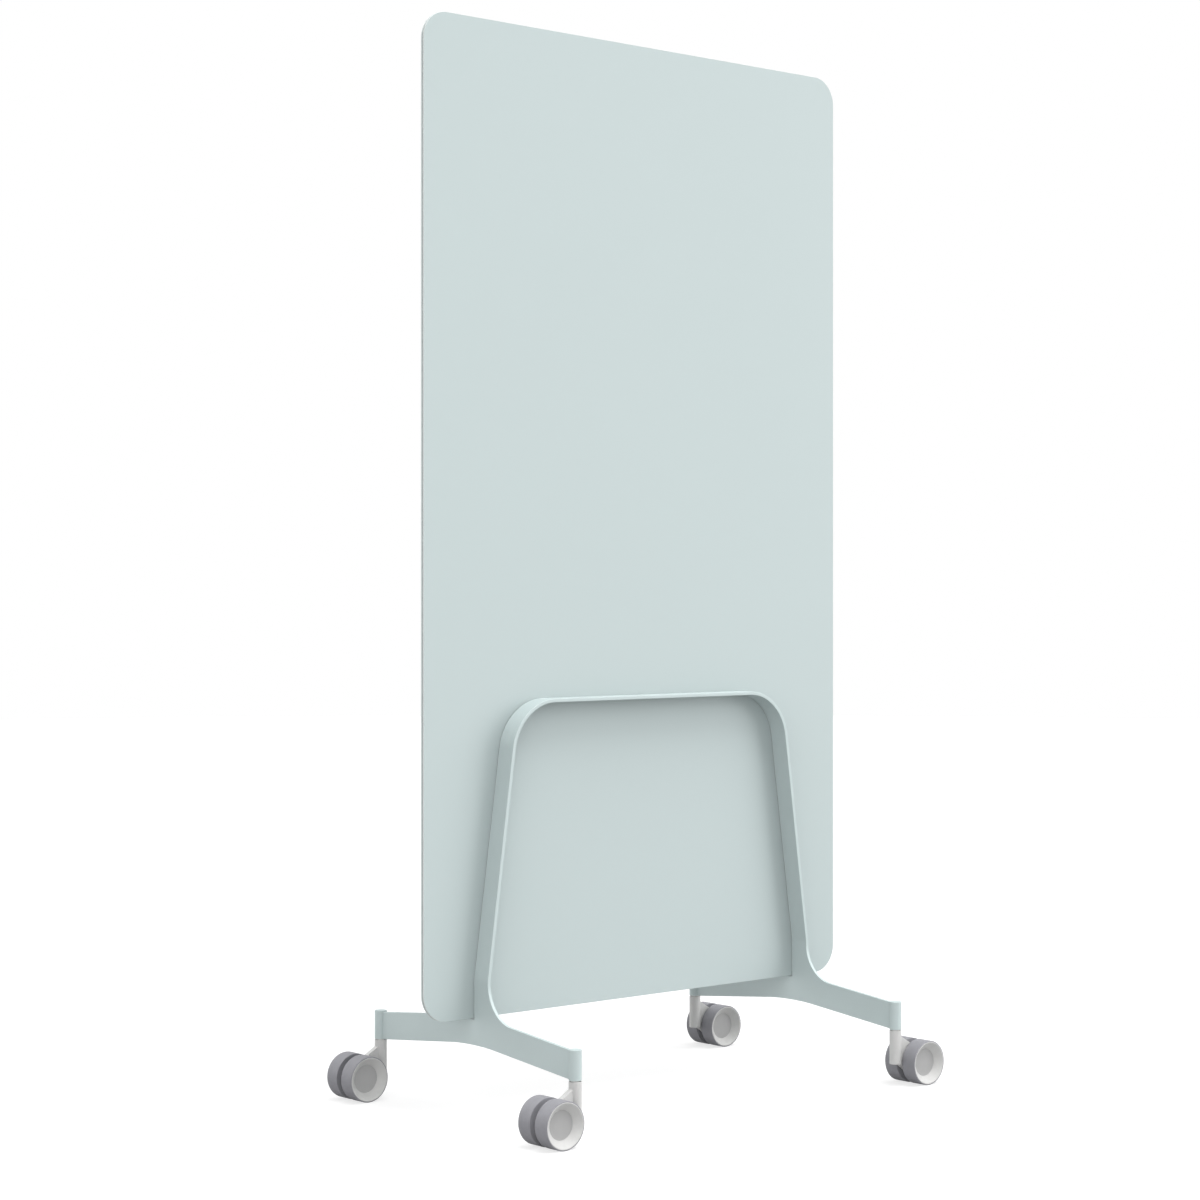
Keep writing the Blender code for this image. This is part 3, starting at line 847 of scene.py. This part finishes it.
dust, dust_in, dust_out = effect("settled_dust", {"Reach": 0.10}, ["Mask"])
spot = add_node(dust, "TexCoord")
height = add_node(dust, "SeparateXYZ")
facing_up = add_node(dust, "SeparateXYZ")
noise = add_node(dust, "TexNoise", Scale=speck_scale, Detail=speck_detail)
dust.links.new(spot.outputs["Object"], height.inputs[0])
dust.links.new(spot.outputs["Object"], noise.inputs["Vector"])
dust.links.new(spot.outputs["Normal"], facing_up.inputs[0])
low_down = calculate(dust, "SUBTRACT", 1.0,
                     calculate(dust, "DIVIDE", height.outputs["Z"], dust_in.outputs["Reach"]))
low_down = calculate(dust, "MAXIMUM", low_down, 0.0)
shelf = calculate(dust, "MAXIMUM", facing_up.outputs["Z"], 0.0)
shelf = calculate(dust, "MULTIPLY", shelf, shelf_share)
layer = calculate(dust, "MULTIPLY", calculate(dust, "ADD", low_down, shelf), noise.outputs[0])
dust.links.new(calculate(dust, "MINIMUM", layer, 1.0), dust_out.inputs["Mask"])
print("Effects:", [group.name for group in bpy.data.node_groups])

# %% [markdown]
# ## Finishes
#
# Every finish starts from the same bench: a base colour that drifts a little lighter and darker,
# a roughness that is never quite even, a fine relief, and a breath of dust. What tells glass from
# powder coat or nylon is the size and the strength of each of these. The corners in the photograph
# are deeper than light that bounces between pale pieces leaves them. So each surface shows its
# full colour to the camera, to mirrors and to the lamps, but only a share of it to bounced light.
# That darkening of the corners is painted shade.

# %% A bench for finishes
drift_contrast, grain_contrast = 2.0, 1.0
dust_colour = (0.46, 0.45, 0.43)
haze_colour = (0.70, 0.74, 0.74)
wipe_width = 0.012
bounce_share = 0.35                     # how much of its colour a surface shows to bounced light
grain_rough, dust_rough, haze_rough = 0.10, 0.4, 2.0    # what each mask adds to the roughness


def effect_node(tree, group, **values):
    """Places a node group in a material with its own values, and gives its mask."""
    node = add_node(tree, "Group")
    node.node_tree = group
    for label, value in values.items():
        node.inputs[label].default_value = value
    return node.outputs["Mask"]


def blend_colour(tree, mask, first, second):
    """A mix of two colours, or of another node's colour and a colour."""
    mix = add_node(tree, "Mix")
    mix.data_type = "RGBA"
    tree.links.new(mask, mix.inputs["Factor"])
    for label, value in (("A", first), ("B", second)):
        slot_in = next(s for s in mix.inputs if s.name == label and s.type == "RGBA")
        if isinstance(value, tuple):
            slot_in.default_value = (*value, 1)
        else:
            tree.links.new(value, slot_in)
    return next(s for s in mix.outputs if s.type == "RGBA")


def scaled(colour, factor):
    """A colour made lighter or darker."""
    return tuple(part * factor for part in colour)


def finish(name, colour, roughness, drift=0.02, drift_size=0.08, grain_size=0.0010,
           grain_depth=0.00002, dusting=0.0, dust_reach=0.10, wipes=0.0, metal=0.0):
    """A material with drifting colour, uneven roughness, fine grain, dust or wiped streaks, and
    painted shade in corners.
    """
    made = bpy.data.materials.new(name)
    made.use_nodes = True
    tree = made.node_tree
    shader = tree.nodes["Principled BSDF"]
    shader.inputs["Metallic"].default_value = metal
    drifting = effect_node(tree, clouds, Size=drift_size, Contrast=drift_contrast)
    tone = blend_colour(tree, drifting, scaled(colour, 1 - drift), scaled(colour, 1 + drift))
    fine = effect_node(tree, clouds, Size=grain_size, Contrast=grain_contrast)
    rough = calculate(tree, "MULTIPLY_ADD", fine, grain_rough, roughness - grain_rough / 2)
    if dusting:
        settled = calculate(tree, "MULTIPLY", effect_node(tree, dust, Reach=dust_reach), dusting)
        tone = blend_colour(tree, settled, tone, dust_colour)
        rough = calculate(tree, "MULTIPLY_ADD", settled, dust_rough, rough)
    if wipes:
        haze = calculate(tree, "MULTIPLY", effect_node(tree, streaks, Width=wipe_width), wipes)
        tone = blend_colour(tree, haze, tone, haze_colour)
        rough = calculate(tree, "MULTIPLY_ADD", haze, haze_rough, rough)
    # Painted shade: to bounced light each surface shows only part of its colour, which darkens the
    # corners between pieces.
    path = add_node(tree, "LightPath")
    painted_corner_shade = calculate(tree, "MULTIPLY", path.outputs["Is Diffuse Ray"], 1 - bounce_share)
    tone = blend_colour(tree, painted_corner_shade, tone, (0, 0, 0))
    tree.links.new(tone, shader.inputs["Base Color"])
    tree.links.new(rough, shader.inputs["Roughness"])
    relief = add_node(tree, "Bump", Distance=grain_depth)
    tree.links.new(fine, relief.inputs["Height"])
    tree.links.new(relief.outputs["Normal"], shader.inputs["Normal"])
    print(name, "has", len(tree.nodes), "nodes")
    return made


# %% [markdown]
# Glass and frame were made to match, in one pale green-blue, but the powder coat is a shade lighter
# and has the fine orange peel of melted powder. Nylon and rubber near the floor take the most dust.
# Steel core, tape and seats show only as thin lines beside the glass, and should show no dark line
# there, so they are pale too. The core and the tape carry painted light: their colours are raised
# above their real ones to lift the shade in their narrow gaps. Each number below is a length in
# metres or a share from 0 to 1.

# %% Finishes of the whiteboard
pale_green = (0.624, 0.723, 0.723)
coat_lift = 1.07                        # the powder coat is this much lighter than the glass
painted_glass = finish("painted_glass", pale_green, 0.40, drift=0.006, drift_size=0.35,
                       grain_size=0.004, grain_depth=0.000004, wipes=0.05)
ground_edge_finish = finish("ground_glass_edge", (0.84, 0.90, 0.89), 0.60, drift=0.02,
                            drift_size=0.02, grain_size=0.0005, grain_depth=0.00001)
powder_coated = finish("powder_coated_steel", scaled(pale_green, coat_lift), 0.50, drift=0.015,
                       drift_size=0.05, grain_size=0.0009, grain_depth=0.00003, dusting=0.08)
nylon = finish("moulded_nylon", (0.77, 0.77, 0.76), 0.45, drift=0.015, drift_size=0.02,
               grain_size=0.0005, grain_depth=0.00001, dusting=0.25)
tread = finish("grey_tread_rubber", (0.33, 0.33, 0.365), 0.70, drift=0.06, drift_size=0.012,
               grain_size=0.0004, grain_depth=0.00003, dusting=0.35)
cap_finish = finish("grey_cap_plastic", (0.52, 0.52, 0.52), 0.50, drift=0.02, drift_size=0.01,
                    grain_size=0.0003, grain_depth=0.00001, dusting=0.2)
plated_steel = finish("plated_steel", (0.62, 0.62, 0.60), 0.32, drift=0.05, drift_size=0.004,
                      grain_size=0.0004, grain_depth=0.000008, metal=1.0)
# Painted light: the core is paler than the glass, so that the shaded gap between the sheets doesn't
# read as a dark line.
core_steel = finish("primed_core_steel_with_painted_light", (0.84, 0.89, 0.89), 0.55, drift=0.03, drift_size=0.01,
                    grain_size=0.0006, grain_depth=0.00001)
# Painted light: the tape is paler than its own colour, so that the shaded gap between hoop and
# glass doesn't read as a dark line.
foam_tape = finish("bonding_tape", (0.76, 0.82, 0.82), 0.85, drift=0.05, drift_size=0.002,
                   grain_size=0.0004, grain_depth=0.00008)
seat_rubber = finish("seat_rubber", (0.56, 0.63, 0.63), 0.75, drift=0.06, drift_size=0.01,
                     grain_size=0.0005, grain_depth=0.00002, dusting=0.3)
by_slot = {"coloured_glass": painted_glass, "sheet_steel": core_steel,
           "powder_coat": powder_coated, "bond_tape": foam_tape, "seat_rubber": seat_rubber,
           "bright_steel": plated_steel, "white_nylon": nylon, "tread_rubber": tread,
           "cap_plastic": cap_finish}

# %% [markdown]
# The new pieces carry the name of their paint slot, so their finish is looked up. The nodes that
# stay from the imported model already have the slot's material on them, under the same name, and
# only that material is exchanged. Their meshes aren't touched. The two sheets of glass are the
# only pieces that wait with two empty places: one for the paint and one for the ground edge.

# %% Paint every piece
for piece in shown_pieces():
    if "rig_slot" in piece and piece.data.materials:
        piece.data.materials[0] = by_slot[piece["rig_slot"]]
        piece.data.materials[1] = ground_edge_finish
    elif "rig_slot" in piece:
        piece.data.materials.append(by_slot[piece["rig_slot"]])
    else:
        for holder in piece.material_slots:
            holder.material = by_slot[holder.material.name.split(".")[0]]

# %% [markdown]
# ## Floor, light and camera
#
# The photograph shows the board on plain white. Its floor is pale and sends some light back up.
# To the camera both floor and surroundings are plain white, and the soft shadow under the castors
# stays. The same holds in reflections, so that no grey edge of the floor mirrors in a piece.

# %% Floor
floor_radius = 14
bounce_grey = (0.33, 0.33, 0.33, 1)
shown_grey = (0.40, 0.40, 0.40, 1)
floor_glow = 0.72                       # lifts the floor to plain white where it is seen


def seen_directly(tree):
    """A mask that is 1 to the camera, in reflections and through clear pieces, else 0."""
    path = add_node(tree, "LightPath")
    mask = path.outputs["Is Camera Ray"]
    for ray in ("Is Glossy Ray", "Is Transmission Ray"):
        mask = calculate(tree, "MAXIMUM", mask, path.outputs[ray])
    return mask


begin()
bpy.ops.mesh.primitive_circle_add(vertices=round_sides, radius=floor_radius, fill_type="NGON",
                                  location=(0, 0, 0))
floor = bpy.context.object
floor.name = "studio_floor"
paper = bpy.data.materials.new("studio_paper")
paper.use_nodes = True
tree = paper.node_tree
bounce = tree.nodes["Principled BSDF"]
bounce.inputs["Base Color"].default_value = bounce_grey
bounce.inputs["Roughness"].default_value = 1.0
shown = add_node(tree, "BsdfDiffuse", Color=shown_grey)
glow = add_node(tree, "Emission", Strength=floor_glow)
lit = add_node(tree, "AddShader")
choice = add_node(tree, "MixShader")
tree.links.new(shown.outputs[0], lit.inputs[0])
tree.links.new(glow.outputs[0], lit.inputs[1])
tree.links.new(seen_directly(tree), choice.inputs["Fac"])
tree.links.new(bounce.outputs[0], choice.inputs[1])
tree.links.new(lit.outputs[0], choice.inputs[2])
tree.links.new(choice.outputs[0], tree.nodes["Material Output"].inputs["Surface"])
floor.data.materials.append(paper)

# %% [markdown]
# Four lamps make the plain light of a white studio. A softbox nearly overhead throws the broad
# shade under the hoop's top bar, weaker windows on the right and left model the legs, and one
# behind keeps the rear from going dull. The surroundings fill in the rest, but the camera sees
# them plain white.

# %% Light
fill_light, plain_white = 0.38, 1.0     # what the surroundings give, and how they look
lamp_height = 4                         # out of the way: a sun shines the same from anywhere

world = bpy.data.worlds.new("white_studio")
bpy.context.scene.world = world
world.use_nodes = True
tree = world.node_tree
around = tree.nodes["Background"]
around.inputs["Color"].default_value = (1, 1, 1, 1)
level = add_node(tree, "MapRange")
level.inputs["To Min"].default_value = fill_light
level.inputs["To Max"].default_value = plain_white
tree.links.new(seen_directly(tree), level.inputs["Value"])
tree.links.new(level.outputs[0], around.inputs["Strength"])


def lamp(name, towards, strength, degrees):
    """A far lamp that shines along a direction and is so many degrees wide."""
    bpy.ops.object.light_add(type="SUN", location=(0, 0, lamp_height))
    made = bpy.context.object
    made.name = name
    made.data.energy = strength * pi
    made.data.angle = radians(degrees)
    made.rotation_euler = Vector(towards).to_track_quat("-Z", "Y").to_euler()
    return made


lamp("overhead_softbox", (-0.08, 0.25, -0.96), strength=0.62, degrees=40)
lamp("window_on_the_right", (-0.75, 0.55, -0.35), strength=0.38, degrees=50)
lamp("window_on_the_left", (0.80, 0.50, -0.30), strength=0.22, degrees=50)
lamp("window_behind", (0.10, -0.90, -0.30), strength=0.34, degrees=60)

# %% [markdown]
# The camera stands to the left of the board, level, at the height of a desk lamp's head. Its place
# and lens were found from the vanishing points of the photograph, and a small shift places the
# board in the frame.

# %% Camera
stand_point = (-3.2508, -3.6340, 0.9248)
heading = -0.71453                      # from straight ahead, in radians
lens_length, sensor_width = 79.98, 36   # in millimetres
upward_shift = -0.0124                  # a share of the picture's width

bpy.ops.object.camera_add(location=stand_point, rotation=(pi / 2, 0, heading))
camera = bpy.context.object
camera.data.lens = lens_length
camera.data.sensor_width = sensor_width
camera.data.shift_y = upward_shift
bpy.context.scene.camera = camera
bpy.context.scene.view_settings.view_transform = "Standard"
